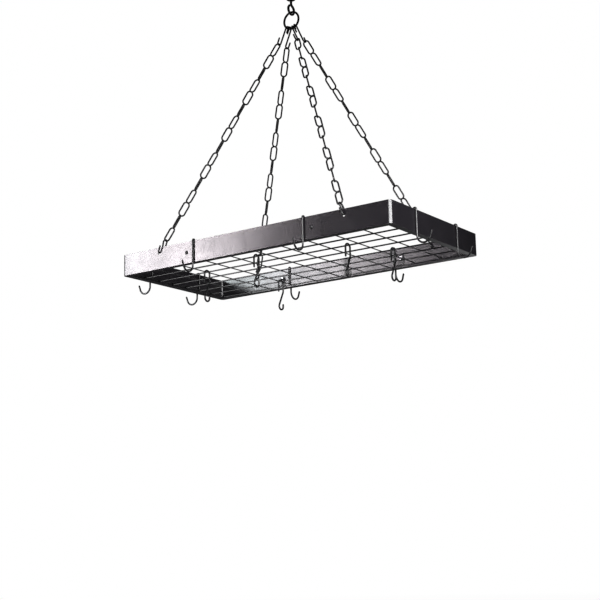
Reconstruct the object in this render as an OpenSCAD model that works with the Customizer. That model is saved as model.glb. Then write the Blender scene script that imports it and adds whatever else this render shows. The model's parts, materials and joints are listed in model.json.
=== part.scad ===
// Hanging pot rack: a bent flat-bar frame with a welded wire grid in its foot,
// hung by four chains from one ring on a screw-in ceiling hook.
// Millimetres, +Z up. The origin is on the ceiling, where the hook screws in.

/* [Frame] */
// Length over the outside of the flat bar
frame_l = 914; // [780:1:1060]
// Width over the outside of the flat bar
frame_w = 457; // [400:1:560]
// Height of the flat bar
band_h = 62; // [56:1:76]
// Thickness of the flat bar
band_t = 3.2; // [2.4:0.1:4]
// Outside radius of the bent corners
corner_r = 10; // [7:1:20]
// Width of the ledge inside the lower edge
ledge_w = 16; // [14:0.5:22]
// Thickness of the ledge
ledge_t = 3; // [2:0.5:5]
// Place of the bar's welded seam, from the middle of the far side
seam_x = 22; // [-60:1:60]
// Width of the strap behind the seam
strap_w = 15; // [10:1:30]
// Height of the strap behind the seam
strap_h = 50; // [30:1:50]
// Thickness of the strap behind the seam
strap_t = 2.5; // [1.5:0.5:4]

/* [Wire grid] */
// Thickness of the wires that run lengthwise
long_wire_d = 4; // [3:0.5:5]
// Thickness of the wires that run across
cross_wire_d = 3; // [2:0.5:4]
// Spacing of the lengthwise wires, before it is evened out
long_pitch = 60.3; // [50:0.1:64]
// Spacing of the crosswise wires, before it is evened out
cross_pitch = 87.5; // [80:0.1:100]
// From the bar's inner face to the outermost lengthwise wire
long_edge = 14.3; // [10:0.1:15]
// From the bar's inner face to the outermost crosswise wire
cross_edge = 16.3; // [12:0.1:20]
// How far the welds sink the crosswise wires into the lengthwise ones
weld_sink = 0.4; // [0.2:0.1:0.8]
// Gap between the wires' ends and the bar
wire_end_gap = 1; // [0.5:0.1:2]

/* [Grid clips] */
// Which crosswise wire a clip sits beside, counted from the frame's end
clip_wire = 3; // [2:1:4]
// Distance of a clip from that wire, towards the frame's end
clip_from_wire = 38; // [20:1:60]
// Height of the clip screws above the frame's lower edge
clip_screw_z = 31; // [26:1:38]
// Width of a clip
clip_w = 15; // [13:1:18]
// Thickness of the clip strip
clip_t = 2; // [1.5:0.1:3]
// Height of the clip's leg above its screw
clip_above_screw = 9; // [8:0.5:14]
// Reach of the clip's foot from the bar
clip_reach = 18.5; // [17.5:0.5:24]
// Inside radius of the clip's bend
clip_bend_r = 2; // [1:0.5:3]
// Thickness of the screws
screw_d = 6; // [5:0.5:7]
// Width of the screws' domed heads
screw_head_d = 11; // [10:0.5:13]
// Height of the screws' domed heads
screw_head_h = 3; // [2:0.5:4]
// Width of the nuts across their flats
nut_af = 10; // [9:0.5:12]
// Thickness of the nuts
nut_t = 5; // [4:0.5:6]
// Length of screw left past the nut
screw_tail = 2; // [1:0.5:4]

/* [Chains] */
// Links in each chain
link_count = 16; // [12:1:22]
// Length of a link's opening
link_inner_l = 42.8; // [36:0.1:48]
// Width over the outside of a link
link_w = 22; // [20:0.5:26]
// Thickness of the link wire
link_wire_d = 4.5; // [3.5:0.1:5]
// Turn from each link to the next in the lower part of a chain
link_turn = 60; // [60:1:80]
// Number of upper links that turn further, so that the last one suits its S-hook
eased_links = 6; // [5:1:8]
// From the frame's end to a chain's hole
hole_from_end = 141; // [120:1:170]
// From the bar's top edge down to the middle of a chain's hole
hole_below_top = 16.5; // [14:0.5:22]
// Width of a chain's hole
hole_d = 9; // [8:0.5:12]

/* [S-hooks] */
// Thickness of the S-hook wire
s_wire_d = 4.5; // [4:0.1:5]
// Radius of an S-hook's loops, to the middle of the wire
s_loop_r = 7; // [6.8:0.1:8]
// Distance between the insides of a lower S-hook's two loops
s_span = 37; // [34:0.5:46]
// Distance between the insides of an upper S-hook's two loops
top_s_span = 59; // [40:0.5:70]
// How far an S-hook's loops open outwards
s_flare = 16.6; // [0:0.1:20]
// Length of an S-hook's straight tips
s_tip_l = 12; // [6:0.5:14]

/* [Ring and ceiling hook] */
// Radius of the ring, to the middle of its wire
ring_r = 26; // [24:0.5:34]
// Thickness of the ring's wire
ring_wire_d = 6; // [5:0.5:6.5]
// Place of the two inner S-hooks on the ring, from its middle
ring_seat_inner = 7.3; // [6.8:0.1:8]
// Spacing of neighbouring S-hooks on the ring
ring_seat_step = 7; // [6.5:0.1:7.5]
// Gap between the ring's wire and the S-hooks that hang on it
ring_gap = 0.3; // [0.2:0.05:0.5]
// Thickness of the ceiling hook's wire
ceiling_wire_d = 7; // [6:0.5:9]
// Radius of the ceiling hook, to the middle of its wire
ceiling_loop_r = 14; // [13:0.5:18]
// Radius of the bend between its stem and its loop
ceiling_bend_r = 8; // [6:0.5:10]
// Straight length of its stem
ceiling_stem_l = 12; // [6:1:30]
// Straight length between its bend and its loop
ceiling_slant_l = 3; // [1:0.5:8]
// How far the loop closes past level on its open side
ceiling_tip_angle = 40; // [20:1:45]
// Length of its straight tip
ceiling_tip_l = 3; // [1:0.5:6]
// Width of its collar
collar_d = 26; // [20:1:34]
// Thickness of its collar
collar_t = 3; // [2:0.5:5]
// Thickness of the shank in the ceiling
shank_d = 6; // [5:0.5:8]
// Length of the shank in the ceiling
shank_l = 40; // [30:1:60]

/* [Band hooks] */
// Thickness of the hook wire
hook_wire_d = 5; // [4:0.5:6]
// Distance of the long sides' hooks from the clip screws, towards the middle
hook_from_clip = 25; // [18:1:43]
// Distance of each hook from the middle of a short side
hook_y = 108; // [90:1:125]
// Gap between a hook's legs and the bar's faces
hook_side_gap = 0.5; // [0.3:0.1:1]
// Height of the inner leg's end above the frame's lower edge
hook_inner_end = 14; // [13:1:30]
// How far the outer leg runs below the frame's lower edge
hook_drop = 10; // [6:1:20]
// Radius of the hook's curl, to the middle of the wire
hook_curl_r = 20; // [16:1:26]
// Lean of the hook's tip, outwards from upright
hook_lean = 20; // [10:1:30]
// Length of the hook's straight tip
hook_tip_l = 14; // [6:1:20]

/* [Pot hooks] */
// Thickness of the hook wire
pot_wire_d = 5; // [4:0.5:6]
// Radius of the upper bend, to the middle of the wire
pot_top_r = 11; // [9:0.5:13]
// Length of the upper bend's free leg
pot_free_leg = 24; // [12:1:26]
// Length of the upper bend's other leg
pot_leg = 22; // [12:1:26]
// Radius of the bend into the slanting stem
pot_bend_r = 12; // [8:0.5:14]
// Radius of the lower curl, to the middle of the wire
pot_curl_r = 10; // [8:0.5:12]
// Depth of the lower curl's middle below the grid wire's top
pot_curl_z = 78; // [70:1:96]
// Length of the lower curl's straight tip
pot_tip_l = 6; // [2:1:12]

/* [Clearances] */
// Gap where one round piece hangs in another
hang_gap = 0.2; // [0.1:0.05:0.3]
// Gap between pieces that lie against each other
seat_gap = 0.1; // [0.05:0.05:0.3]
// Play of a screw in its hole, on the radius
screw_play = 0.3; // [0.2:0.05:0.5]
// How much thinner a wire is where it is bent, on the radius
bend_thinning = 0.02; // [0.01:0.01:0.05]

/* [Hidden] */

wire_fn = 24;
round_fn = 48;
bend_overlap = 1;

// Finishes
black = [0.09, 0.09, 0.10];
graphite = [0.20, 0.19, 0.21];
steel = [0.62, 0.62, 0.64];

// Signs of the four corners along X and Y, and the way each chain twists
NEAR_LEFT = [-1, -1, 1];
FAR_LEFT = [-1, 1, 1];
NEAR_RIGHT = [1, -1, -1];
FAR_RIGHT = [1, 1, 1];

// Frame
inner_l = frame_l - 2 * band_t;
inner_w = frame_w - 2 * band_t;
inner_corner_r = corner_r - band_t;
hole_x = frame_l / 2 - hole_from_end;
hole_z = band_h - hole_below_top;

// Wire grid: the spacing is evened out between the two outermost wires
long_count = round((inner_w - 2 * long_edge) / long_pitch) + 1;
cross_count = round((inner_l - 2 * cross_edge) / cross_pitch) + 1;
long_step = (inner_w - 2 * long_edge) / (long_count - 1);
cross_step = (inner_l - 2 * cross_edge) / (cross_count - 1);
long_wire_z = ledge_t + seat_gap + long_wire_d / 2;
cross_wire_z = long_wire_z + long_wire_d / 2 + cross_wire_d / 2 - weld_sink;
long_wire_top = long_wire_z + long_wire_d / 2;
function long_wire_y(i) = long_edge - inner_w / 2 + i * long_step;
function cross_wire_x(i) = cross_edge - inner_l / 2 + i * cross_step;

// Clips: the foot lies on the outermost lengthwise wire
clip_x = clip_from_wire - cross_wire_x(clip_wire);
clip_foot_z = long_wire_top + seat_gap;
clip_face = frame_w / 2 - band_t - seat_gap;
screw_r = screw_d / 2;
screw_hole_r = screw_r + screw_play;
nut_r = nut_af / sqrt(3);

// S-hook: two loops whose middles are joined by a slanting stem
s_inner_r = s_loop_r - s_wire_d / 2;
function s_centres(span) = span - 2 * s_inner_r;
function s_slant(span) = asin(2 * s_loop_r / s_centres(span));

// Chain: distances along it, from the middle of the lowest loop
link_r = link_wire_d / 2;
link_bend_r = link_w / 2 - link_r;
link_l = link_inner_l + link_wire_d;
link_step = link_inner_l - hang_gap;
loop_to_link = s_inner_r - link_r - hang_gap;
first_link = s_centres(s_span) + loop_to_link + link_l / 2;
last_link = first_link + (link_count - 1) * link_step;
top_s_hook = last_link + link_l / 2 + loop_to_link;
loop_to_ring = s_inner_r - ring_wire_d / 2 - ring_gap;
chain_reach = top_s_hook + s_centres(top_s_span) + loop_to_ring;

// Ring: the two S-hooks of a side sit beside each other on its lower curve
ring_seat_outer = ring_seat_inner + ring_seat_step;
function ring_rise(x) = ring_r - sqrt(ring_r * ring_r - x * x);
function ring_seat(c) = c[0] * (c[0] == c[1] ? ring_seat_outer : ring_seat_inner);

// Where a lowest loop is held: both edges of the bar above the hole touch its inside
bar_middle_y = frame_w / 2 - band_t / 2;
hole_to_loop = hole_d / 2 + sqrt(pow(s_inner_r - hang_gap, 2) - pow(band_t / 2, 2));
lean = atan2(
    hole_x - ring_seat_outer,
    sqrt(pow(chain_reach, 2) - pow(hole_x - ring_seat_outer, 2) - pow(bar_middle_y, 2))
);
loop_x = hole_x - hole_to_loop * sin(lean);
loop_z = hole_z + hole_to_loop * cos(lean);
function loop_at(c) = [c[0] * loop_x, c[1] * bar_middle_y, loop_z];

// Heights above the frame's lower edge
seat_rise = sqrt(pow(chain_reach, 2) - pow(loop_x - ring_seat_outer, 2) - pow(bar_middle_y, 2));
ring_low_z = loop_z + seat_rise - ring_rise(ring_seat_outer);
ring_top_z = ring_low_z + 2 * ring_r;
saddle_z = ring_top_z - ring_wire_d / 2 - hang_gap - ceiling_wire_d / 2;
ceiling_loop_z = saddle_z + ceiling_loop_r;
ceiling_bend_to_loop = norm([ceiling_loop_r + ceiling_bend_r, ceiling_slant_l]);
ceiling_turn = asin((ceiling_loop_r + ceiling_bend_r) / ceiling_bend_to_loop)
    - asin(ceiling_bend_r / ceiling_bend_to_loop);
ceiling_bend_z = ceiling_loop_z + sqrt(pow(ceiling_bend_to_loop, 2) - pow(ceiling_bend_r, 2));
ceiling_z = ceiling_bend_z + ceiling_stem_l + collar_t;
function ring_seat_at(c) = [ring_seat(c), 0, ring_low_z + ring_rise(ring_seat(c))];

// Direction of a chain, and its tilt, heading and roll
function chain_way(c) = (ring_seat_at(c) - loop_at(c)) / norm(ring_seat_at(c) - loop_at(c));
function chain_tilt(c) = acos(chain_way(c)[2]);
function chain_heading(c) = atan2(chain_way(c)[1], chain_way(c)[0]);
function out_of_frame(c) = cross(cross(chain_way(c), [0, c[1], 0]), chain_way(c));
function chain_side(c) = [-sin(chain_heading(c)), cos(chain_heading(c)), 0];
function chain_front(c) = cross(chain_side(c), chain_way(c));
function chain_roll(c) = atan2(out_of_frame(c) * chain_side(c), out_of_frame(c) * chain_front(c));

// Turn of a link: the upper links share what is missing from a whole number of half turns
even_links = link_count - 1 - eased_links;
half_turns = ceil((link_count - 1) * link_turn / 180 - 0.01);
eased_turn = (half_turns * 180 - even_links * link_turn) / eased_links;
function link_angle(i) = min(i, even_links) * link_turn + max(i - even_links, 0) * eased_turn;

// Band hooks: the top bend rests on the bar's two upper edges
hook_r = hook_wire_d / 2;
hook_x = clip_x - hook_from_clip;
hook_leg = band_t / 2 + hook_side_gap + hook_r;
hook_bend_z = band_h - sqrt(pow(hook_leg - hook_r - hang_gap, 2) - pow(band_t / 2, 2));

// Pot hooks: the lengthwise wire, the crosswise wire to the left, and the distance from it
pot_places = [
    [2, 2, 8.5],
    [1, 4, 60.5],
    [long_count - 2, 3, 8],
    [2, cross_count - 4, 60],
    [4, cross_count - 3, 40.5]
];
pot_r = pot_wire_d / 2;
pot_top_z = pot_r + hang_gap - pot_top_r;
pot_bend_y = pot_top_r - pot_bend_r;
pot_bend_to_curl = [pot_bend_y, pot_curl_z + pot_top_z - pot_leg];
pot_slant = asin((pot_bend_r + pot_curl_r) / norm(pot_bend_to_curl))
    + atan2(pot_bend_to_curl[0], pot_bend_to_curl[1]);
pot_stem_l = sqrt(pow(norm(pot_bend_to_curl), 2) - pow(pot_bend_r + pot_curl_r, 2));

// Straight round bar up the Z axis; what follows is drawn from its end
module straight(l, r) {
    cylinder(h = l, r = r, $fn = wire_fn);
    translate([0, 0, l])
        children();
}

// Round bar that leaves the origin upwards and bends towards +X, or towards -X at a negative
// angle. It is a hair thinner than the straight bars at its ends and reaches a degree into both.
module curve(bend_r, angle, r) {
    turn = angle < 0 ? 180 : 0;
    rotate([0, 0, turn])
        translate([bend_r, 0, 0]) {
            rotate([-90, 180 - bend_overlap, 0])
                rotate_extrude(angle = abs(angle) + 2 * bend_overlap, $fn = round_fn)
                    translate([bend_r, 0])
                        circle(r = r - bend_thinning, $fn = wire_fn);
            rotate([0, abs(angle), 0])
                translate([-bend_r, 0, 0])
                    rotate([0, 0, turn])
                        children();
        }
}

// Straight round bar up the Z axis with a domed end
module end_piece(l, r) {
    rotate_extrude($fn = wire_fn) {
        square([r, l]);
        intersection() {
            translate([0, l])
                circle(r = r, $fn = wire_fn);
            square([r, l + r]);
        }
    }
}

module rounded_outline(l, w, r) {
    square([l - 2 * r, w], center = true);
    square([l, w - 2 * r], center = true);
    for (x = [-1, 1], y = [-1, 1])
        translate([x * (l / 2 - r), y * (w / 2 - r)])
            circle(r = r, $fn = round_fn);
}

// Everything below the ceiling is drawn up from the frame's lower edge
module hung() {
    translate([0, 0, -ceiling_z])
        children();
}

// Along a chain: the origin moves to the lowest loop's middle and +Z runs up the chain
module on_chain(c, along) {
    hung()
        translate(loop_at(c))
            rotate([0, chain_tilt(c), chain_heading(c)])
                rotate([0, 0, chain_roll(c)])
                    translate([0, 0, along])
                        children();
}

// S-hook in the XZ plane, with the middle of its lower loop at the origin
module s_hook(span) {
    r = s_wire_d / 2;
    slant = s_slant(span);
    stem_l = s_centres(span) * cos(slant);
    color(black)
        translate([0, 0, s_centres(span) / 2])
            rotate([0, slant, 0]) {
                cylinder(h = stem_l, r = r, center = true, $fn = wire_fn);
                for (half = [0, 180])
                    rotate([0, half, 0])
                        translate([0, 0, stem_l / 2])
                            curve(s_loop_r, s_flare - slant - 180, r)
                                end_piece(s_tip_l, r);
            }
}

// Straight-sided link, its length along Z and its width along Y
module chain_link() {
    side_l = link_l - 2 * link_bend_r;
    for (half = [0, 180])
        rotate([0, 0, 90])
            rotate([0, half, 0])
                translate([-link_bend_r, 0, -side_l / 2])
                    straight(side_l, link_r)
                        curve(link_bend_r, 180, link_r);
}

module chain(c) {
    color(black)
        for (i = [0 : link_count - 1])
            on_chain(c, first_link + i * link_step)
                rotate([0, 0, -c[2] * link_angle(i)])
                    chain_link();
}

module frame_s_hook(c) {
    on_chain(c, 0)
        s_hook(s_span);
}

module top_s_hook(c) {
    on_chain(c, top_s_hook)
        s_hook(top_s_span);
}

module ceiling_hook() {
    r = ceiling_wire_d / 2;
    color(black) {
        translate([0, 0, -collar_t]) {
            cylinder(h = collar_t + shank_l, d = shank_d, $fn = wire_fn);
            cylinder(h = collar_t, d = collar_d, $fn = round_fn);
        }
        rotate([180, 0, 90])
            translate([0, 0, collar_t / 2])
                straight(collar_t / 2 + ceiling_stem_l, r)
                    curve(ceiling_bend_r, ceiling_turn, r)
                        straight(ceiling_slant_l, r)
                            curve(ceiling_loop_r, -ceiling_turn - 180 - ceiling_tip_angle, r)
                                end_piece(ceiling_tip_l, r);
    }
}

module gather_ring() {
    color(black)
        hung()
            translate([0, 0, ring_low_z + ring_r])
                rotate([90, 0, 0])
                    rotate_extrude($fn = 2 * round_fn)
                        translate([ring_r, 0])
                            circle(d = ring_wire_d, $fn = wire_fn);
}

module band_frame() {
    color(graphite)
        hung()
            difference() {
                linear_extrude(band_h)
                    difference() {
                        rounded_outline(frame_l, frame_w, corner_r);
                        rounded_outline(inner_l, inner_w, inner_corner_r);
                    }
                for (x = [-hole_x, hole_x])
                    translate([x, 0, hole_z])
                        rotate([90, 0, 0])
                            cylinder(h = frame_w + 2, d = hole_d, center = true, $fn = wire_fn);
                for (x = [-clip_x, clip_x])
                    translate([x, 0, clip_screw_z])
                        rotate([90, 0, 0])
                            cylinder(h = frame_w + 2, r = screw_hole_r, center = true, $fn = wire_fn);
            }
}

// Ledge strip of the +Y side of a frame of this inner length and width, mitred at both ends
module ledge(l, w) {
    mitre = l / 2 - seat_gap / 2;
    color(graphite)
        hung()
            linear_extrude(ledge_t)
                intersection() {
                    rounded_outline(l - 2 * seat_gap, w - 2 * seat_gap, inner_corner_r);
                    polygon([
                        [-mitre, w / 2],
                        [mitre, w / 2],
                        [mitre - ledge_w, w / 2 - ledge_w],
                        [ledge_w - mitre, w / 2 - ledge_w]
                    ]);
                }
}

module ledge_far() {
    ledge(inner_l, inner_w);
}

module ledge_near() {
    rotate([0, 0, 180])
        ledge(inner_l, inner_w);
}

module ledge_left() {
    rotate([0, 0, 90])
        ledge(inner_w, inner_l);
}

module ledge_right() {
    rotate([0, 0, -90])
        ledge(inner_w, inner_l);
}

module seam_strap() {
    color(black)
        hung()
            translate([seam_x - strap_w / 2, inner_w / 2 - seat_gap - strap_t, band_h - 1 - strap_h])
                cube([strap_w, strap_t, strap_h]);
}

module wire_grid() {
    long_l = inner_l - 2 * wire_end_gap;
    cross_l = inner_w - 2 * wire_end_gap;
    color(black)
        hung()
            union() {
                for (i = [0 : long_count - 1])
                    translate([0, long_wire_y(i), long_wire_z])
                        rotate([0, 90, 0])
                            cylinder(h = long_l, d = long_wire_d, center = true, $fn = wire_fn);
                for (i = [0 : cross_count - 1])
                    translate([cross_wire_x(i), 0, cross_wire_z])
                        rotate([90, 0, 0])
                            cylinder(h = cross_l, d = cross_wire_d, center = true, $fn = wire_fn);
            }
}

// Clip on the +Y side: a leg on the bar, and a foot over the outermost wire
module grid_clip(side_x, side_y) {
    leg_z = clip_foot_z + clip_t + clip_bend_r;
    leg_top = clip_screw_z + clip_above_screw;
    outer_r = clip_bend_r + clip_t;
    color(black)
        hung()
            mirror([0, side_y < 0 ? 1 : 0, 0])
                translate([side_x * clip_x, clip_face, 0])
                    difference() {
                        rotate([90, 0, -90])
                            linear_extrude(clip_w, center = true) {
                                translate([0, leg_z])
                                    square([clip_t, leg_top - leg_z]);
                                translate([outer_r, clip_foot_z])
                                    square([clip_reach - outer_r, clip_t]);
                                translate([outer_r, leg_z])
                                    intersection() {
                                        difference() {
                                            circle(r = outer_r, $fn = wire_fn);
                                            circle(r = clip_bend_r, $fn = wire_fn);
                                        }
                                        translate([-outer_r, -outer_r])
                                            square(outer_r);
                                    }
                            }
                        translate([0, 0, clip_screw_z])
                            rotate([90, 0, 0])
                                cylinder(h = 4 * clip_t, r = screw_hole_r, center = true, $fn = wire_fn);
                    }
}

// Places a part drawn along +Z from the bar's outer face inwards at each clip screw
module at_clip_screws() {
    hung()
        for (x = [-clip_x, clip_x], side = [0, 1])
            mirror([0, side, 0])
                translate([x, frame_w / 2, clip_screw_z])
                    rotate([90, 0, 0])
                        children();
}

module clip_screws() {
    grip = band_t + seat_gap + clip_t + seat_gap + nut_t + screw_tail;
    dome_r = (pow(screw_head_d / 2, 2) + pow(screw_head_h, 2)) / (2 * screw_head_h);
    color(steel)
        at_clip_screws() {
            translate([0, 0, -seat_gap - screw_head_h / 2])
                cylinder(h = screw_head_h / 2 + seat_gap + grip, r = screw_r, $fn = wire_fn);
            translate([0, 0, -seat_gap])
                rotate([180, 0, 0])
                    rotate_extrude($fn = round_fn)
                        intersection() {
                            translate([0, screw_head_h - dome_r])
                                circle(r = dome_r, $fn = 2 * round_fn);
                            square([screw_head_d, screw_head_h]);
                        }
        }
}

module clip_nuts() {
    color(steel)
        at_clip_screws()
            translate([0, 0, band_t + clip_t + 2 * seat_gap])
                difference() {
                    cylinder(h = nut_t, r = nut_r, $fn = 6);
                    translate([0, 0, -1])
                        cylinder(h = nut_t + 2, r = screw_r + screw_play / 2, $fn = wire_fn);
                }
}

// Hook over a bar whose outer face looks along +X, the bar's middle plane at x = 0
module band_hook() {
    color(black)
        hung()
            translate([-hook_leg, 0, hook_bend_z]) {
                rotate([0, 180, 0])
                    end_piece(hook_bend_z - hook_inner_end - hook_r, hook_r);
                curve(hook_leg, 180, hook_r)
                    straight(hook_bend_z + hook_drop, hook_r)
                        curve(hook_curl_r, hook_lean - 180, hook_r)
                            end_piece(hook_tip_l, hook_r);
            }
}

module long_side_hook(side_x, side_y) {
    translate([side_x * hook_x, side_y * bar_middle_y, 0])
        rotate([0, 0, side_y * 90])
            band_hook();
}

module short_side_hook(side_x, side_y) {
    translate([side_x * (frame_l / 2 - band_t / 2), side_y * hook_y, 0])
        rotate([0, 0, side_x < 0 ? 180 : 0])
            band_hook();
}

// S-shaped hook over a lengthwise grid wire, drawn in the YZ plane
module pot_hook(place) {
    color(black)
        hung()
            translate([
                cross_wire_x(place[1]) + place[2],
                long_wire_y(place[0]) - pot_top_r,
                long_wire_top + pot_top_z
            ])
                rotate([0, 0, 90]) {
                    rotate([0, 180, 0])
                        end_piece(pot_free_leg, pot_r);
                    curve(pot_top_r, 180, pot_r)
                        straight(pot_leg, pot_r)
                            curve(pot_bend_r, pot_slant, pot_r)
                                straight(pot_stem_l, pot_r)
                                    curve(pot_curl_r, -pot_slant - 180, pot_r)
                                        end_piece(pot_tip_l, pot_r);
                }
}

module top_s_hook_near_left() { top_s_hook(NEAR_LEFT); }
module top_s_hook_far_left() { top_s_hook(FAR_LEFT); }
module top_s_hook_near_right() { top_s_hook(NEAR_RIGHT); }
module top_s_hook_far_right() { top_s_hook(FAR_RIGHT); }
module chain_near_left() { chain(NEAR_LEFT); }
module chain_far_left() { chain(FAR_LEFT); }
module chain_near_right() { chain(NEAR_RIGHT); }
module chain_far_right() { chain(FAR_RIGHT); }
module frame_s_hook_near_left() { frame_s_hook(NEAR_LEFT); }
module frame_s_hook_far_left() { frame_s_hook(FAR_LEFT); }
module frame_s_hook_near_right() { frame_s_hook(NEAR_RIGHT); }
module frame_s_hook_far_right() { frame_s_hook(FAR_RIGHT); }
module grid_clip_near_left() { grid_clip(-1, -1); }
module grid_clip_far_left() { grid_clip(-1, 1); }
module grid_clip_near_right() { grid_clip(1, -1); }
module grid_clip_far_right() { grid_clip(1, 1); }
module band_hook_near_left() { long_side_hook(-1, -1); }
module band_hook_near_right() { long_side_hook(1, -1); }
module band_hook_far_left() { long_side_hook(-1, 1); }
module band_hook_far_right() { long_side_hook(1, 1); }
module band_hook_left_near() { short_side_hook(-1, -1); }
module band_hook_left_far() { short_side_hook(-1, 1); }
module band_hook_right_near() { short_side_hook(1, -1); }
module band_hook_right_far() { short_side_hook(1, 1); }
module pot_hook_1() { pot_hook(pot_places[0]); }
module pot_hook_2() { pot_hook(pot_places[1]); }
module pot_hook_3() { pot_hook(pot_places[2]); }
module pot_hook_4() { pot_hook(pot_places[3]); }
module pot_hook_5() { pot_hook(pot_places[4]); }

ceiling_hook();
gather_ring();
top_s_hook_near_left();
top_s_hook_far_left();
top_s_hook_near_right();
top_s_hook_far_right();
chain_near_left();
chain_far_left();
chain_near_right();
chain_far_right();
frame_s_hook_near_left();
frame_s_hook_far_left();
frame_s_hook_near_right();
frame_s_hook_far_right();
band_frame();
ledge_near();
ledge_far();
ledge_left();
ledge_right();
seam_strap();
wire_grid();
grid_clip_near_left();
grid_clip_far_left();
grid_clip_near_right();
grid_clip_far_right();
clip_screws();
clip_nuts();
band_hook_near_left();
band_hook_near_right();
band_hook_far_left();
band_hook_far_right();
band_hook_left_near();
band_hook_left_far();
band_hook_right_near();
band_hook_right_far();
pot_hook_1();
pot_hook_2();
pot_hook_3();
pot_hook_4();
pot_hook_5();
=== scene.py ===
"""Hanging pot rack: looks, light and camera. Metres; the origin is on the ceiling."""

import json
import math

import bmesh
import bpy
import numpy as np
from mathutils import Matrix, Vector

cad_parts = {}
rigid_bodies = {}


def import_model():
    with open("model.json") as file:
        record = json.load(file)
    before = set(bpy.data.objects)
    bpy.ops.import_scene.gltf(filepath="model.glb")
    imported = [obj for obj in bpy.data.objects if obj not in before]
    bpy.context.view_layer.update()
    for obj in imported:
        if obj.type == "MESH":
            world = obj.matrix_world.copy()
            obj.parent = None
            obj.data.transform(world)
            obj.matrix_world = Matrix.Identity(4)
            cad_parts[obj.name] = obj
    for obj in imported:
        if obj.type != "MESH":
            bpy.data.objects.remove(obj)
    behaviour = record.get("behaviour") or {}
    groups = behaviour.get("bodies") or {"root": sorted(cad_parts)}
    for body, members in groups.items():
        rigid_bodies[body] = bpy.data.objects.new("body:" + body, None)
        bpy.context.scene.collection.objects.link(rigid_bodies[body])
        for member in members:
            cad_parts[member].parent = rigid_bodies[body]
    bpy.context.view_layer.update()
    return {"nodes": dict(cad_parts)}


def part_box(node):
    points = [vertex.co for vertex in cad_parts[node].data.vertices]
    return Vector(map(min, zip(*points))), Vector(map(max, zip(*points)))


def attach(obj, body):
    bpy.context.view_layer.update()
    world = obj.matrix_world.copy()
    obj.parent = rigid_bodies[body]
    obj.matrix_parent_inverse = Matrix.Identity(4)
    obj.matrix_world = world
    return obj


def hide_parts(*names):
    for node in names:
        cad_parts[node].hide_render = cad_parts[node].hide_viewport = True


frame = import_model()
nodes = frame["nodes"]

CORNERS = ("near_left", "far_left", "near_right", "far_right")
edge_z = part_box("band_frame")[0].z  # the frame's lower edge


# ---------------------------------------------------------------- shader helpers

def new_node(tree, kind, **settings):
    node = tree.nodes.new(kind)
    for key, value in settings.items():
        setattr(node, key, value)
    return node


def node_group(name, inputs, outputs):
    """An empty shader group with named sockets; inputs are (name, kind, default)."""
    group = bpy.data.node_groups.new(name, "ShaderNodeTree")
    for label, kind, default in inputs:
        socket = group.interface.new_socket(label, in_out="INPUT", socket_type=kind)
        if default is not None:
            socket.default_value = default
    for label, kind in outputs:
        group.interface.new_socket(label, in_out="OUTPUT", socket_type=kind)
    return group, group.nodes.new("NodeGroupInput"), group.nodes.new("NodeGroupOutput")


def noise(tree, vector, scale, detail=3.0, rough=0.55):
    node = new_node(tree, "ShaderNodeTexNoise")
    node.inputs["Detail"].default_value = detail
    node.inputs["Roughness"].default_value = rough
    tree.links.new(vector, node.inputs["Vector"])
    if isinstance(scale, (int, float)):
        node.inputs["Scale"].default_value = scale
    else:
        tree.links.new(scale, node.inputs["Scale"])
    return node.outputs["Fac"]


def calc(tree, operation, a, b, clamp=False):
    node = new_node(tree, "ShaderNodeMath", operation=operation, use_clamp=clamp)
    for slot, value in enumerate((a, b)):
        if isinstance(value, (int, float)):
            node.inputs[slot].default_value = value
        else:
            tree.links.new(value, node.inputs[slot])
    return node.outputs[0]


def spread(tree, value, low, high, to_low=0.0, to_high=1.0):
    """Stretches low to high over to_low to to_high, and holds what lies outside."""
    node = new_node(tree, "ShaderNodeMapRange")
    for label, number in (("From Min", low), ("From Max", high),
                          ("To Min", to_low), ("To Max", to_high)):
        node.inputs[label].default_value = number
    tree.links.new(value, node.inputs["Value"])
    return node.outputs["Result"]


def blend_colours(tree, mask, first, second):
    node = new_node(tree, "ShaderNodeMix", data_type="RGBA")
    tree.links.new(mask, node.inputs["Factor"])
    for label, value in (("A", first), ("B", second)):
        socket = [s for s in node.inputs if s.name == label and s.type == "RGBA"][0]
        if isinstance(value, tuple):
            socket.default_value = value
        else:
            tree.links.new(value, socket)
    return [s for s in node.outputs if s.type == "RGBA"][0]


# ---------------------------------------------------------------- shared effects

def make_coat_grain():
    """Orange peel, fine speckle and soft clouds of a baked coat."""
    group, given, out = node_group(
        "coat_grain",
        [("Vector", "NodeSocketVector", None), ("Peel Scale", "NodeSocketFloat", 900.0),
         ("Speckle Scale", "NodeSocketFloat", 3500.0), ("Cloud Scale", "NodeSocketFloat", 14.0)],
        [("Height", "NodeSocketFloat"), ("Speckle", "NodeSocketFloat"),
         ("Cloud", "NodeSocketFloat")])
    t, v = group, given.outputs["Vector"]
    peel = noise(t, v, given.outputs["Peel Scale"], 2.0, 0.4)
    speck = noise(t, v, given.outputs["Speckle Scale"], 1.0, 0.5)
    cloud = noise(t, v, given.outputs["Cloud Scale"], 4.0, 0.6)
    height = calc(t, "ADD", calc(t, "MULTIPLY", peel, 0.7), calc(t, "MULTIPLY", speck, 0.3))
    t.links.new(height, out.inputs["Height"])
    t.links.new(spread(t, speck, 0.56, 0.74), out.inputs["Speckle"])
    t.links.new(spread(t, cloud, 0.3, 0.7), out.inputs["Cloud"])
    return group


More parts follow.
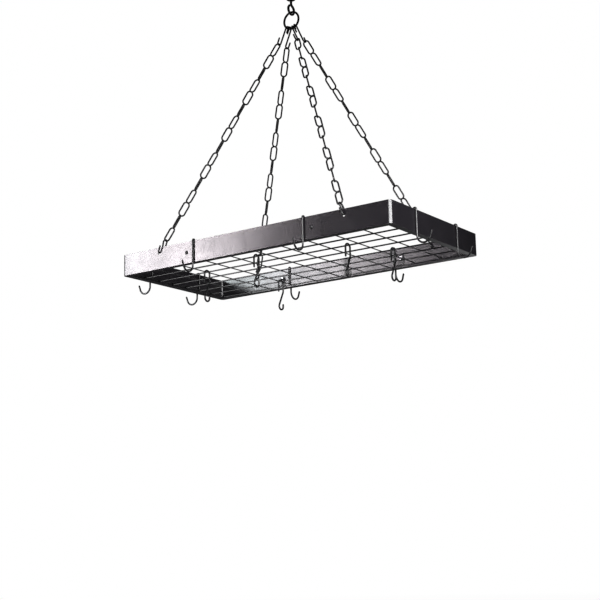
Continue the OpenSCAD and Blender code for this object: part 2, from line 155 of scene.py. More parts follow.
def make_edge_wear():
    """Where an outer edge is rubbed: a mask from the bevelled normal, broken up by noise."""
    group, given, out = node_group(
        "edge_wear",
        [("Vector", "NodeSocketVector", None), ("Radius", "NodeSocketFloat", 0.0008),
         ("Patch Scale", "NodeSocketFloat", 60.0), ("Amount", "NodeSocketFloat", 0.5)],
        [("Mask", "NodeSocketFloat")])
    t, v = group, given.outputs["Vector"]
    bevel = new_node(t, "ShaderNodeBevel", samples=4)
    t.links.new(given.outputs["Radius"], bevel.inputs["Radius"])
    geometry = new_node(t, "ShaderNodeNewGeometry")
    dot = new_node(t, "ShaderNodeVectorMath", operation="DOT_PRODUCT")
    t.links.new(bevel.outputs["Normal"], dot.inputs[0])
    t.links.new(geometry.outputs["Normal"], dot.inputs[1])
    # The two normals agree on a flat and part near an edge
    edge = spread(t, dot.outputs["Value"], 0.995, 0.93)
    patch = spread(t, noise(t, v, given.outputs["Patch Scale"], 5.0, 0.65), 0.42, 0.62)
    fine = spread(t, noise(t, v, 900.0, 2.0, 0.5), 0.35, 0.6)
    mask = calc(t, "MULTIPLY", calc(t, "MULTIPLY", edge, patch), fine)
    mask = calc(t, "MULTIPLY", mask, given.outputs["Amount"], clamp=True)
    t.links.new(mask, out.inputs["Mask"])
    return group


def make_dust():
    """Thin dust that lies on faces that look up."""
    group, given, out = node_group(
        "dust",
        [("Vector", "NodeSocketVector", None), ("Amount", "NodeSocketFloat", 0.3)],
        [("Mask", "NodeSocketFloat")])
    t, v = group, given.outputs["Vector"]
    geometry = new_node(t, "ShaderNodeNewGeometry")
    split = new_node(t, "ShaderNodeSeparateXYZ")
    t.links.new(geometry.outputs["Normal"], split.inputs[0])
    up = spread(t, split.outputs["Z"], 0.35, 1.0)
    patch = spread(t, noise(t, v, 35.0, 4.0, 0.6), 0.3, 0.75)
    mask = calc(t, "MULTIPLY", up, patch)
    mask = calc(t, "MULTIPLY", mask, given.outputs["Amount"], clamp=True)
    t.links.new(mask, out.inputs["Mask"])
    return group


coat_grain, edge_wear, dust = make_coat_grain(), make_edge_wear(), make_dust()


BARE_STEEL = (0.32, 0.31, 0.31, 1)
DUST_COLOUR = (0.42, 0.40, 0.38, 1)
DUST_AMOUNT = 0.10
SPECKLE_SHARE = 0.25
BRUSH_SCALE = (14.0, 14.0, 900.0)  # long across the bar's faces, fine along their height
BRUSH_TURN = (0.02, 0.05, 0.0)


def coated_metal(name, colour, lighter, roughness, peel_height, wear, wear_radius,
                 bare=BARE_STEEL, cloud=0.5, peel_scale=900.0, scratches=0.0, metal=0.0, coat=0.0):
    """A baked coat or bare finish over steel, worn to bare metal along its edges."""
    material = bpy.data.materials.new(name)
    material.use_nodes = True
    tree = material.node_tree
    shader = tree.nodes["Principled BSDF"]
    place = new_node(tree, "ShaderNodeTexCoord").outputs["Object"]
    grain = new_node(tree, "ShaderNodeGroup", node_tree=coat_grain)
    worn = new_node(tree, "ShaderNodeGroup", node_tree=edge_wear)
    dusty = new_node(tree, "ShaderNodeGroup", node_tree=dust)
    for group in (grain, worn, dusty):
        tree.links.new(place, group.inputs["Vector"])
    grain.inputs["Peel Scale"].default_value = peel_scale
    worn.inputs["Radius"].default_value = wear_radius
    worn.inputs["Amount"].default_value = wear
    dusty.inputs["Amount"].default_value = DUST_AMOUNT
    clouds = calc(tree, "MULTIPLY", grain.outputs["Cloud"], cloud)
    base = blend_colours(tree, clouds, colour, lighter)
    speckles = calc(tree, "MULTIPLY", grain.outputs["Speckle"], SPECKLE_SHARE)
    speckle_colour = tuple(min(1, c * 2.4 + 0.02) for c in colour[:3]) + (1,)
    base = blend_colours(tree, speckles, base, speckle_colour)
    mask = worn.outputs["Mask"]
    if scratches:
        lines = new_node(tree, "ShaderNodeTexNoise")
        stretch = new_node(tree, "ShaderNodeMapping")
        stretch.inputs["Scale"].default_value = BRUSH_SCALE
        stretch.inputs["Rotation"].default_value = BRUSH_TURN
        tree.links.new(place, stretch.inputs["Vector"])
        tree.links.new(stretch.outputs["Vector"], lines.inputs["Vector"])
        lines.inputs["Scale"].default_value = 1.0
        lines.inputs["Detail"].default_value = 2.0
        thin = spread(tree, lines.outputs["Fac"], 0.70, 0.74, 0.0, scratches)
        mask = calc(tree, "MAXIMUM", mask, thin)
    base = blend_colours(tree, mask, base, bare)
    base = blend_colours(tree, dusty.outputs["Mask"], base, DUST_COLOUR)
    tree.links.new(base, shader.inputs["Base Color"])
    if metal:
        shader.inputs["Metallic"].default_value = metal
    else:
        tree.links.new(mask, shader.inputs["Metallic"])
    rough = spread(tree, grain.outputs["Cloud"], 0.0, 1.0, roughness - 0.04, roughness + 0.05)
    rough = calc(tree, "ADD", rough, calc(tree, "MULTIPLY", dusty.outputs["Mask"], 0.5), clamp=True)
    tree.links.new(rough, shader.inputs["Roughness"])
    bump = new_node(tree, "ShaderNodeBump")
    bump.inputs["Strength"].default_value = 0.9
    bump.inputs["Distance"].default_value = peel_height
    tree.links.new(grain.outputs["Height"], bump.inputs["Height"])
    tree.links.new(bump.outputs["Normal"], shader.inputs["Normal"])
    shader.inputs["IOR"].default_value = 1.52
    shader.inputs["Coat Weight"].default_value = coat
    shader.inputs["Coat Roughness"].default_value = 0.12
    return material


FRAME_COAT = coated_metal(
    "frame_coat", (0.010, 0.009, 0.011, 1), (0.016, 0.014, 0.017, 1), roughness=0.33,
    peel_height=0.00016, wear=0.5, wear_radius=0.0007, peel_scale=360.0, scratches=0.08, coat=0.04)
GRID_COAT = coated_metal(
    "grid_coat", (0.008, 0.0078, 0.009, 1), (0.014, 0.013, 0.015, 1), roughness=0.30,
    peel_height=0.00003, wear=0.3, wear_radius=0.0005)
CHAIN_COAT = coated_metal(
    "chain_coat", (0.006, 0.006, 0.0065, 1), (0.012, 0.0115, 0.013, 1), roughness=0.42,
    peel_height=0.00004, wear=0.3, wear_radius=0.0005, cloud=0.7)
HOOK_COAT = coated_metal(
    "hook_coat", (0.007, 0.0066, 0.0075, 1), (0.012, 0.0115, 0.013, 1), roughness=0.40,
    peel_height=0.00003, wear=0.3, wear_radius=0.0005)
STRIP_COAT = coated_metal(
    "strip_coat", (0.007, 0.0066, 0.0075, 1), (0.012, 0.0115, 0.013, 1), roughness=0.42,
    peel_height=0.00003, wear=0.4, wear_radius=0.0004)
SCREW_BLACK = coated_metal(
    "screw_black", (0.006, 0.006, 0.007, 1), (0.012, 0.012, 0.013, 1), roughness=0.48,
    peel_height=0.00001, wear=0.5, wear_radius=0.0003, bare=(0.5, 0.5, 0.52, 1))
SCREW_STEEL = coated_metal(
    "screw_steel", (0.40, 0.40, 0.42, 1), (0.50, 0.50, 0.51, 1), roughness=0.34,
    peel_height=0.00001, wear=0.4, wear_radius=0.0003, bare=(0.6, 0.6, 0.62, 1), metal=1.0)


def dress(name, material):
    data = nodes[name].data
    data.materials.clear()
    data.materials.append(material)


for name in nodes:
    if name == "band_frame" or name.startswith("ledge"):
        dress(name, FRAME_COAT)
    elif name == "wire_grid":
        dress(name, GRID_COAT)
    elif name.startswith(("band_hook", "pot_hook")):
        dress(name, HOOK_COAT)
    elif name.startswith("grid_clip") or name == "seam_strap":
        dress(name, STRIP_COAT)
    elif name.startswith("clip_"):
        dress(name, SCREW_BLACK)
    else:
        dress(name, CHAIN_COAT)


# ---------------------------------------------------------------- geometry-node helpers

class Builder:
    """A geometry-node tree with named inputs, written as calls that return sockets."""

    def __init__(self, name, inputs):
        self.tree = bpy.data.node_groups.new(name, "GeometryNodeTree")
        face = self.tree.interface
        face.new_socket("Geometry", in_out="INPUT", socket_type="NodeSocketGeometry")
        self.ids = {}
        for label, kind, default in inputs:
            socket = face.new_socket(label, in_out="INPUT", socket_type=kind)
            if default is not None:
                socket.default_value = default
            self.ids[label] = socket.identifier
        face.new_socket("Geometry", in_out="OUTPUT", socket_type="NodeSocketGeometry")
        self.given = self.tree.nodes.new("NodeGroupInput")
        self.out = self.tree.nodes.new("NodeGroupOutput")

    def __getitem__(self, label):
        return self.given.outputs[label]

    def put(self, socket, value):
        if hasattr(value, "node"):
            self.tree.links.new(value, socket)
        else:
            socket.default_value = value

    def add(self, kind, inputs=None, output=0, **settings):
        node = self.tree.nodes.new(kind)
        for key, value in settings.items():
            setattr(node, key, value)
        for key, value in (inputs or {}).items():
            self.put(node.inputs[key], value)
        return node.outputs[output]

    def math(self, operation, a, b):
        return self.add("ShaderNodeMath", {0: a, 1: b}, operation=operation)

    def vector(self, x=0.0, y=0.0, z=0.0):
        return self.add("ShaderNodeCombineXYZ", {0: x, 1: y, 2: z})

    def half(self, value):
        return self.math("MULTIPLY", value, 0.5)

    def join(self, *parts):
        node = self.tree.nodes.new("GeometryNodeJoinGeometry")
        for part in reversed(parts):
            self.tree.links.new(part, node.inputs[0])
        return node.outputs[0]

    def tube(self, path, thickness, sides, caps=True):
        ring = self.add("GeometryNodeCurvePrimitiveCircle",
                        {"Resolution": sides, "Radius": self.half(thickness)})
        return self.add("GeometryNodeCurveToMesh",
                        {"Curve": path, "Profile Curve": ring, "Fill Caps": caps})

    def ball(self, radius, segments, rings):
        return self.add("GeometryNodeMeshUVSphere",
                        {"Segments": segments, "Rings": rings, "Radius": radius})

    def shift(self, geometry, place=None, turn=None, scale=None):
        inputs = {"Geometry": geometry}
        for label, value in (("Translation", place), ("Rotation", turn), ("Scale", scale)):
            if value is not None:
                inputs[label] = value
        return self.add("GeometryNodeTransform", inputs)

    def on_points(self, points, part, turn=None):
        inputs = {"Points": points, "Instance": part}
        if turn:
            inputs["Rotation"] = self.add("GeometryNodeInputNamedAttribute", {"Name": turn},
                                          data_type="FLOAT_VECTOR")
        return self.add("GeometryNodeInstanceOnPoints", inputs)

    def boolean(self, operation, first, second):
        node = self.tree.nodes.new("GeometryNodeMeshBoolean")
        node.operation, node.solver = operation, "EXACT"
        kept = "Mesh 1" if operation == "DIFFERENCE" else "Mesh 2"
        self.tree.links.new(first, node.inputs[kept])
        self.tree.links.new(second, node.inputs["Mesh 2"])
        return node.outputs[0]

    def finish(self, geometry):
        solid = self.add("GeometryNodeRealizeInstances", {"Geometry": geometry})
        solid = self.add("GeometryNodeSetShadeSmooth", {"Geometry": solid, "Shade Smooth": True})
        solid = self.add("GeometryNodeSetMaterial", {"Geometry": solid, "Material": self["Coat"]})
        self.tree.links.new(solid, self.out.inputs[0])
        return self


COAT_INPUT = ("Coat", "NodeSocketMaterial", None)


def sizes(**values):
    """Named inputs of a tree: a whole number is a count, any other a size in millimetres."""
    inputs = []
    for label, value in values.items():
        count = isinstance(value, int)
        inputs.append((label.replace("_", " "), "NodeSocketInt" if count else "NodeSocketFloat",
                       value if count else value / 1000))
    return inputs


def grow(name, builder, places, material, body, replaced=(), turns=None, sharp=40, **values):
    """Runs a tree on a set of points and keeps the result as a plain mesh that rides on a body.

    sharp is the angle in degrees past which an edge stays sharp; values go to the tree's inputs.
    """
    start = bpy.data.meshes.new(name + "_places")
    start.from_pydata([tuple(p) for p in places], [], [])
    if turns is not None:
        turn = start.attributes.new("turn", "FLOAT_VECTOR", "POINT")
        for index, angles in enumerate(turns):
            turn.data[index].vector = angles
    seed = bpy.data.objects.new(name + "_places", start)
    bpy.context.scene.collection.objects.link(seed)
    modifier = seed.modifiers.new("grow", "NODES")
    modifier.node_group = builder.tree
    modifier[builder.ids["Coat"]] = material
    for label, value in values.items():
        modifier[builder.ids[label.replace("_", " ")]] = value
    ready = bpy.context.evaluated_depsgraph_get()
    mesh = bpy.data.meshes.new_from_object(seed.evaluated_get(ready))
    mesh.name = name
    bpy.data.objects.remove(seed)
    mesh.materials.clear()
    mesh.materials.append(material)
    mesh.set_sharp_from_angle(angle=math.radians(sharp))
    return ride(name, mesh, body, replaced)


def ride(name, mesh, body, replaced=()):
    """Makes the mesh a piece on a body and hides the parts that it replaces."""
    piece = bpy.data.objects.new(name, mesh)
    bpy.context.scene.collection.objects.link(piece)
    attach(piece, body)
    if replaced:
        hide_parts(*replaced)
    return piece


# ---------------------------------------------------------------- chains

UNDER_HALF = 0.4975  # so that the two bends at a link's end don't quite meet
WELD_FLATNESS = 0.42


def link_tree():
    """A link of bent wire with the weld on its side, its width along X and its length along Y."""
    b = Builder("chain_links", sizes(Link_Length=47.3, Link_Width=22.0, Wire=4.5, Weld_Size=5.4)
                + [COAT_INPUT])
    width = b.math("SUBTRACT", b["Link Width"], b["Wire"])
    length = b.math("SUBTRACT", b["Link Length"], b["Wire"])
    path = b.add("GeometryNodeCurvePrimitiveQuadrilateral", {"Width": width, "Height": length})
    bend = b.math("MULTIPLY", width, UNDER_HALF)
    path = b.add("GeometryNodeFilletCurve", {"Curve": path, "Count": 9, "Radius": bend},
                 mode="POLY")
    wire = b.tube(path, b["Wire"], sides=14, caps=False)
    weld = b.shift(b.ball(b.half(b["Weld Size"]), segments=14, rings=8),
                   place=b.vector(b.half(width)), turn=(math.pi / 2, 0, 0),
                   scale=(1, WELD_FLATNESS, 1))
    return b.finish(b.on_points(b["Geometry"], b.join(wire, weld), "turn"))


def link_frames(node):
    """Middle and turn of each link of a packed chain: its width along X, its length along Y."""
    mesh = bmesh.new()
    mesh.from_mesh(nodes[node].data)
    bmesh.ops.remove_doubles(mesh, verts=mesh.verts, dist=1e-6)
    seen, frames = set(), []
    for first in mesh.verts:
        if first.index in seen:
            continue
        seen.add(first.index)
        island, edge = [], [first]
        while edge:
            vert = edge.pop()
            island.append(vert.co[:])
            for line in vert.link_edges:
                other = line.other_vert(vert)
                if other.index not in seen:
                    seen.add(other.index)
                    edge.append(other)
        points = np.array(island)
        middle = points.mean(axis=0)
        _, axes = np.linalg.eigh(np.cov((points - middle).T))  # thinnest way first
        along, across = Vector(axes[:, 2]), Vector(axes[:, 1])
        if along.z < 0:
            along = -along
        thick = across.cross(along)
        turn = Matrix((across, along, thick)).transposed().to_euler()
        frames.append((tuple(middle), tuple(turn)))
    mesh.free()
    return sorted(frames, key=lambda frame: frame[0][2])


LINKS = link_tree()
for corner in CORNERS:
    frames = link_frames("chain_" + corner)
    grow("links_" + corner, LINKS, [f[0] for f in frames], CHAIN_COAT, "rack",
         ("chain_" + corner,), [f[1] for f in frames])


# ---------------------------------------------------------------- wire grid

def grid_tree():
    """Lengthwise wires with the crosswise wires lying on them, and a weld at each crossing."""
    b = Builder("welded_grid", sizes(
        Long_Wires=8, Cross_Wires=11, Length=905.6, Width=448.6, Long_Spread=422.0,
        Cross_Spread=875.0, Long_Wire=4.0, Cross_Wire=3.0, Rise=3.1) + [COAT_INPUT])

    def ends(length, along_x):
        """Both ends of a length that lies across the middle."""
        halves = [b.math("MULTIPLY", length, sign) for sign in (-0.5, 0.5)]
        return [b.vector(half) if along_x else b.vector(0.0, half) for half in halves]

    def rods(length, thickness, along_x):
        start, end = ends(length, along_x)
        path = b.add("GeometryNodeCurvePrimitiveLine", {"Start": start, "End": end})
        return b.tube(path, thickness, sides=12)

    def row(count, reach, along_x):
        start, end = ends(reach, along_x)
        return b.add("GeometryNodeMeshLine",
                     {"Count": count, "Start Location": start, "Offset": end}, mode="END_POINTS")

    long_rods = b.on_points(row(b["Long Wires"], b["Long Spread"], False),
                            rods(b["Length"], b["Long Wire"], True))
    cross_rods = b.on_points(row(b["Cross Wires"], b["Cross Spread"], True),
                             rods(b["Width"], b["Cross Wire"], False))
    cross_rods = b.shift(cross_rods, place=b.vector(0.0, 0.0, b["Rise"]))
    spots = b.add("GeometryNodeMeshGrid", {
        "Size X": b["Cross Spread"], "Size Y": b["Long Spread"],
        "Vertices X": b["Cross Wires"], "Vertices Y": b["Long Wires"]})
    nugget = b.shift(b.ball(b.half(b["Long Wire"]), segments=10, rings=6), scale=(1.12, 1.2, 0.5))
    welds = b.shift(b.on_points(spots, nugget), place=b.vector(0.0, 0.0, b.half(b["Rise"])))
    whole = b.on_points(b["Geometry"], b.join(long_rods, cross_rods, welds))
    return b.finish(whole)


LONG_WIRE_Z = edge_z + 0.0051  # the wires lie on the ledge
grow("welded_grid", grid_tree(), [(0, 0, LONG_WIRE_Z)], GRID_COAT, "rack", ("wire_grid",))


# ---------------------------------------------------------------- screws and nuts

def screw_tree():
    """Domed machine screw with a cross recess; its head looks along +Z and its shank along -Z."""
    b = Builder("clip_screw", sizes(
        Dome_Radius=6.54, Head_Height=3.0, Recess_Length=5.8, Recess_Width=1.3, Recess_Block=4.0,
        Shank=6.0, Length=14.3, Pitch=1.0) + [COAT_INPUT])
    dome = b.shift(b.ball(b["Dome Radius"], segments=40, rings=28), place=b.vector(
        0.0, 0.0, b.math("SUBTRACT", b["Head Height"], b["Dome Radius"])))
    above_bar = b.shift(b.add("GeometryNodeMeshCube", {"Size": (0.03, 0.03, 0.01)}),
                        place=(0, 0, 0.0051))
    head = b.boolean("INTERSECT", dome, above_bar)
    recess_z = 0.0034  # middle of the blocks that cut the cross
    bars = []
    for turn in (0, math.pi / 2):
        size = b.vector(b["Recess Length"], b["Recess Width"], b["Recess Block"])
        bar = b.add("GeometryNodeMeshCube", {"Size": size})
        bars.append(b.shift(bar, place=(0, 0, recess_z), turn=(0, 0, turn)))
    for bar in bars:
        head = b.boolean("DIFFERENCE", head, bar)
    core_share, thread_share = 0.44, 0.435  # radii as shares of the shank's width
    core = b.add("GeometryNodeMeshCylinder", {
        "Vertices": 20, "Radius": b.math("MULTIPLY", b["Shank"], core_share),
        "Depth": b["Length"]})
    core = b.shift(core, place=b.vector(0.0, 0.0, b.math("MULTIPLY", b["Length"], -0.49)))
    thread_r = b.math("MULTIPLY", b["Shank"], thread_share)
    coil = b.add("GeometryNodeCurveSpiral", {
        "Resolution": 20, "Rotations": b.math("DIVIDE", b["Length"], b["Pitch"]),
        "Start Radius": thread_r, "End Radius": thread_r,
        "Height": b.math("MULTIPLY", b["Length"], -0.96)})
    ridge = b.add("GeometryNodeCurvePrimitiveCircle", {"Resolution": 3, "Radius": 0.00042})
    thread = b.add("GeometryNodeCurveToMesh",
                   {"Curve": coil, "Profile Curve": ridge, "Fill Caps": True})
    return b.finish(b.on_points(b["Geometry"], b.join(head, core, thread), "turn"))


def nut_tree():
    """Hexagon nut with rounded-off corners; its seat is z = 0 and it lies along -Z."""
    b = Builder("clip_nut", sizes(Width=11.547, Height=5.0, Bore=6.3, Bore_Cutter=20.0)
                + [COAT_INPUT])
    hexagon = b.add("GeometryNodeMeshCylinder", {
        "Vertices": 6, "Radius": b.half(b["Width"]), "Depth": b["Height"]})
    round_off = b.shift(b.ball(b.half(b["Width"]), segments=48, rings=32),
                        scale=(1.02, 1.02, 0.82))
    nut = b.boolean("INTERSECT", hexagon, round_off)
    bore = b.add("GeometryNodeMeshCylinder", {
        "Vertices": 24, "Radius": b.half(b["Bore"]), "Depth": b["Bore Cutter"]})
    nut = b.boolean("DIFFERENCE", nut, bore)
    nut = b.shift(nut, place=b.vector(0.0, 0.0, b.math("MULTIPLY", b["Height"], -0.5)))
    return b.finish(b.on_points(b["Geometry"], nut, "turn"))


SCREW_X, SCREW_Z, BAR_FACE = 0.213, edge_z + 0.031, 0.2285
HEAD_OUT, NUT_IN = 0.0001, 0.0054  # from the bar's outer face
RECESS_TURN = 0.35  # the cross recesses don't stand upright
screw_spots, screw_turns, nut_spots = [], [], []
for side_x in (-1, 1):
    for side_y in (-1, 1):
        screw_spots.append((side_x * SCREW_X, side_y * (BAR_FACE + HEAD_OUT), SCREW_Z))
        nut_spots.append((side_x * SCREW_X, side_y * (BAR_FACE - NUT_IN), SCREW_Z))
        screw_turns.append((-side_y * math.pi / 2, RECESS_TURN * side_x, 0))
grow("screws", screw_tree(), screw_spots, SCREW_BLACK, "rack", ("clip_screws",), screw_turns,
     sharp=32)
grow("nuts", nut_tree(), nut_spots, SCREW_STEEL, "rack", ("clip_nuts",), screw_turns, sharp=32)


# ---------------------------------------------------------------- welds

def bead_tree():
    """A short weld bead of overlapping drops along X."""
    b = Builder("weld_bead", sizes(Bead_Length=9.0, Bead_Width=3.4, Drops=6) + [COAT_INPUT])
    start, end = [b.vector(b.math("MULTIPLY", b["Bead Length"], share)) for share in (-0.4, 0.4)]
    row = b.add("GeometryNodeMeshLine",
                {"Count": b["Drops"], "Start Location": start, "Offset": end}, mode="END_POINTS")
    drop = b.shift(b.ball(b.half(b["Bead Width"]), segments=10, rings=6), scale=(0.8, 1, 1))
    return b.finish(b.on_points(b["Geometry"], b.on_points(row, drop), "turn"))


CROSS_WIRE_STEP, LONG_WIRE_STEP = 0.0875, 0.0602857
TACK_X, TACK_Y, TACK_Z = 0.4534, 0.2249, edge_z + 0.0032  # where the ledge meets the bar
SEAM_PLACE = (0.022, 0.2279, edge_z + 0.031)


def tack_places():
    """Places between the grid's wires, and which way the bead runs there."""
    places, turns = [], []
    for side in (-1, 1):
        for step in (-4.5, -2.5, -0.5, 1.5, 3.5):
            places.append((side * step * CROSS_WIRE_STEP, side * TACK_Y, TACK_Z))
            turns.append((0, 0, 0))
        for step in (-2, 0, 2):
            places.append((side * TACK_X, step * LONG_WIRE_STEP, TACK_Z))
            turns.append((0, 0, math.pi / 2))
    return places, turns


BEADS = bead_tree()
tacks, tack_turns = tack_places()
grow("ledge_tacks", BEADS, tacks, FRAME_COAT, "rack", (), tack_turns, sharp=180)
grow("seam_weld", BEADS, [SEAM_PLACE], FRAME_COAT, "rack", (), [(0, math.pi / 2, 0)],
     sharp=180, Bead_Length=0.069, Bead_Width=0.0022, Drops=46)


# ---------------------------------------------------------------- bars with eased edges

FLAT_WITHIN, EASED_FROM = 0.5, 35  # angles in degrees


def ease_edges(node, material, width):
    """A copy of a flat-bar node whose sharp edges are rounded off a little, its flats kept flat."""
    mesh = bmesh.new()
    mesh.from_mesh(nodes[node].data)
    bmesh.ops.remove_doubles(mesh, verts=mesh.verts, dist=1e-6)
    bmesh.ops.dissolve_limit(mesh, angle_limit=math.radians(FLAT_WITHIN),
                             verts=mesh.verts, edges=mesh.edges)
    data = bpy.data.meshes.new(node + "_merged")
    mesh.to_mesh(data)
    mesh.free()
    data.shade_smooth()
    bar = bpy.data.objects.new(node + "_merged", data)
    bpy.context.scene.collection.objects.link(bar)
    bevel = bar.modifiers.new("ease", "BEVEL")
    bevel.width, bevel.segments, bevel.limit_method = width, 2, "ANGLE"
    bevel.angle_limit = math.radians(EASED_FROM)
    flats = bar.modifiers.new("flats", "WEIGHTED_NORMAL")
    flats.mode, flats.weight, flats.keep_sharp = "FACE_AREA", 100, False
    ready = bpy.context.evaluated_depsgraph_get()
    eased = bpy.data.meshes.new_from_object(bar.evaluated_get(ready))
    bpy.data.objects.remove(bar)
    eased.name = node + "_eased"
    eased.materials.clear()
    eased.materials.append(material)
    return ride(node + "_eased", eased, "rack", (node,))


ease_edges("band_frame", FRAME_COAT, 0.0005)
for side in ("near", "far", "left", "right"):
    ease_edges("ledge_" + side, FRAME_COAT, 0.0004)
for corner in CORNERS:
    ease_edges("grid_clip_" + corner, STRIP_COAT, 0.0003)
ease_edges("seam_strap", STRIP_COAT, 0.0004)


# ---------------------------------------------------------------- camera

TURN, RISE, ROLL = 35.483, 11.677, -1.204  # degrees
VIEWPOINT = (2.0213, -2.8214, -0.8154)
FOCAL_PIXELS, IMAGE_PIXELS, SENSOR = 1254.8, 600.0, 36.0


def aim_camera():
    """The photograph's viewpoint, given from the middle of the frame's lower edge."""
    turn, rise, roll = math.radians(TURN), math.radians(RISE), math.radians(ROLL)
    place = Vector(VIEWPOINT) + Vector((0, 0, edge_z))
    ahead = Vector((-math.sin(turn) * math.cos(rise), math.cos(turn) * math.cos(rise),
                    math.sin(rise)))
    right = ahead.cross(Vector((0, 0, 1))).normalized()
    up = right.cross(ahead)
    right_r = right * math.cos(roll) + up * math.sin(roll)
    up_r = up * math.cos(roll) - right * math.sin(roll)
    lens = bpy.data.cameras.new("camera")
    lens.sensor_width = SENSOR
    lens.lens = FOCAL_PIXELS * SENSOR / IMAGE_PIXELS
    lens.clip_start, lens.clip_end = 0.05, 200.0
    camera = bpy.data.objects.new("camera", lens)
    bpy.context.scene.collection.objects.link(camera)
    axes = Matrix((right_r, up_r, -ahead)).transposed().to_4x4()
    camera.matrix_world = Matrix.Translation(place) @ axes
    bpy.context.scene.camera = camera


aim_camera()


# ---------------------------------------------------------------- light and floor

def panel(name, place, target, size, radiance, colour, beam):
    """A rectangular soft light; place and target count from the middle of the lower edge."""
    light = bpy.data.lights.new(name, "AREA")
    light.shape = "RECTANGLE"
    light.size, light.size_y = size
    light.energy = radiance * math.pi * size[0] * size[1]
    light.spread = math.radians(beam)
    light.color = colour
    lamp = bpy.data.objects.new(name, light)
    bpy.context.scene.collection.objects.link(lamp)
    lamp.location = Vector(place) + Vector((0, 0, edge_z))
    lamp.rotation_euler = (Vector(target) - Vector(place)).to_track_quat("-Z", "Y").to_euler()
    lamp.visible_camera = False


CENTRE, WHITE = (0, 0, 0), (1, 1, 1)
PANELS = (  # name, place, target, size, radiance, colour, beam in degrees
    ("left_panel_cool", (-1.40, -0.848, 0.27), (-0.71, -0.098, 0.03), (0.45, 0.9),
     0.80, (0.88, 0.98, 1.0), 32),
    ("left_panel_warm", (-1.05, -1.152, 0.27), (-0.36, -0.402, 0.03), (0.45, 0.9),
     1.12, (1.0, 0.93, 0.97), 32),
    ("low_left_panel", (-1.15, -0.75, -0.62), (-0.30, 0.05, 0.0), (0.8, 0.6), 12, WHITE, 180),
    ("far_side_panel", (-1.08, -1.0, 0.37), (-0.20, 0.2253, 0.03), (0.6, 0.6), 0.2, WHITE, 20),
    ("back_panel", (-1.2, 2.6, 1.1), CENTRE, (2.6, 1.6), 2.2, WHITE, 180),
    ("low_back_panel", (0.9, 2.9, -1.15), CENTRE, (5.0, 1.3), 1.1, WHITE, 180),
    ("left_fill", (-3.0, 0.5, 0.8), CENTRE, (1.6, 1.2), 1.5, WHITE, 180),
)
for settings in PANELS:
    panel(*settings)
LIT_CORNER, CORNER_DISTANCE = Vector((0.45, -0.22, 0.03)), 1.25
for angle in (25, 55, 85):  # a wall of light round the near right corner
    way = Vector((math.sin(math.radians(angle)), -math.cos(math.radians(angle)), 0.27))
    panel("corner_panel_%d" % angle, LIT_CORNER + way * CORNER_DISTANCE, LIT_CORNER,
          (0.66, 0.6), 1.6, WHITE, 34)
panel("top_panel", (0.1, 0.3, 2.6), CENTRE, (2.0, 1.4), 0.8, WHITE, 180)


def light_world():
    """Pale to the eye, dimmer as a light, so that black coats stay black."""
    world = bpy.data.worlds.new("studio")
    world.use_nodes = True
    tree = world.node_tree
    tree.nodes.clear()
    out = new_node(tree, "ShaderNodeOutputWorld")
    seen = new_node(tree, "ShaderNodeBackground")
    seen.inputs["Color"].default_value = (1, 1, 1, 1)
    seen.inputs["Strength"].default_value = 1.0
    lit = new_node(tree, "ShaderNodeBackground")
    lit.inputs["Color"].default_value = (0.92, 0.95, 1.0, 1)
    lit.inputs["Strength"].default_value = 0.05
    mix = new_node(tree, "ShaderNodeMixShader")
    path = new_node(tree, "ShaderNodeLightPath")
    tree.links.new(path.outputs["Is Camera Ray"], mix.inputs["Fac"])
    tree.links.new(lit.outputs[0], mix.inputs[1])
    tree.links.new(seen.outputs[0], mix.inputs[2])
    tree.links.new(mix.outputs[0], out.inputs["Surface"])
    bpy.context.scene.world = world


light_world()
look = bpy.context.scene.view_settings
look.view_transform = "Standard"  # AgX with a bright backdrop washes out the thin wires
look.gamma = 0.8  # the photograph's hard contrast


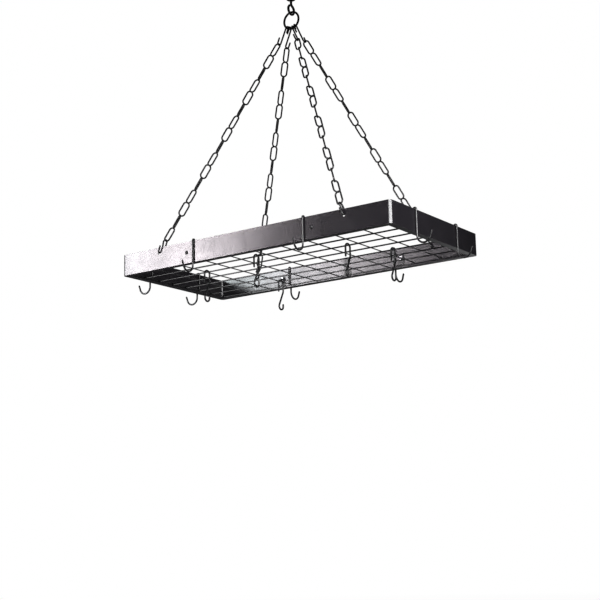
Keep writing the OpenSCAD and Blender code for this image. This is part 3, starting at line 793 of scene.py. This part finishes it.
FLOOR_Z, FLOOR_RADIUS, FLOOR_SIDES = -2.4, 60.0, 96
FADE_FROM, FADE_TO = 4.0, 24.0  # distances from the floor's middle


def lay_floor():
    """A pale round floor that fades into the backdrop's white and isn't seen from underneath."""
    mesh = bpy.data.meshes.new("floor")
    angles = [2 * math.pi * k / FLOOR_SIDES for k in range(FLOOR_SIDES)]
    rim = [(FLOOR_RADIUS * math.cos(a), FLOOR_RADIUS * math.sin(a), FLOOR_Z) for a in angles]
    mesh.from_pydata(rim, [], [tuple(range(FLOOR_SIDES))])
    floor = bpy.data.objects.new("floor", mesh)
    bpy.context.scene.collection.objects.link(floor)
    material = bpy.data.materials.new("floor")
    material.use_nodes = True
    tree = material.node_tree
    shader = tree.nodes["Principled BSDF"]
    shader.inputs["Base Color"].default_value = (0.86, 0.86, 0.87, 1)
    shader.inputs["Roughness"].default_value = 0.9
    place = new_node(tree, "ShaderNodeTexCoord").outputs["Object"]
    far = new_node(tree, "ShaderNodeVectorMath", operation="LENGTH")
    tree.links.new(place, far.inputs[0])
    fade = spread(tree, far.outputs["Value"], FADE_FROM, FADE_TO)
    glow = new_node(tree, "ShaderNodeEmission")
    pale = blend_colours(tree, fade, (0.90, 0.905, 0.91, 1), (1, 1, 1, 1))
    tree.links.new(pale, glow.inputs["Color"])
    clear = new_node(tree, "ShaderNodeBsdfTransparent")
    path = new_node(tree, "ShaderNodeLightPath")
    side = new_node(tree, "ShaderNodeNewGeometry")
    seen, whole = new_node(tree, "ShaderNodeMixShader"), new_node(tree, "ShaderNodeMixShader")
    tree.links.new(path.outputs["Is Camera Ray"], seen.inputs["Fac"])
    tree.links.new(shader.outputs[0], seen.inputs[1])
    tree.links.new(glow.outputs[0], seen.inputs[2])
    tree.links.new(side.outputs["Backfacing"], whole.inputs["Fac"])
    tree.links.new(seen.outputs[0], whole.inputs[1])
    tree.links.new(clear.outputs[0], whole.inputs[2])
    tree.links.new(whole.outputs[0], tree.nodes["Material Output"].inputs["Surface"])
    mesh.materials.append(material)


lay_floor()
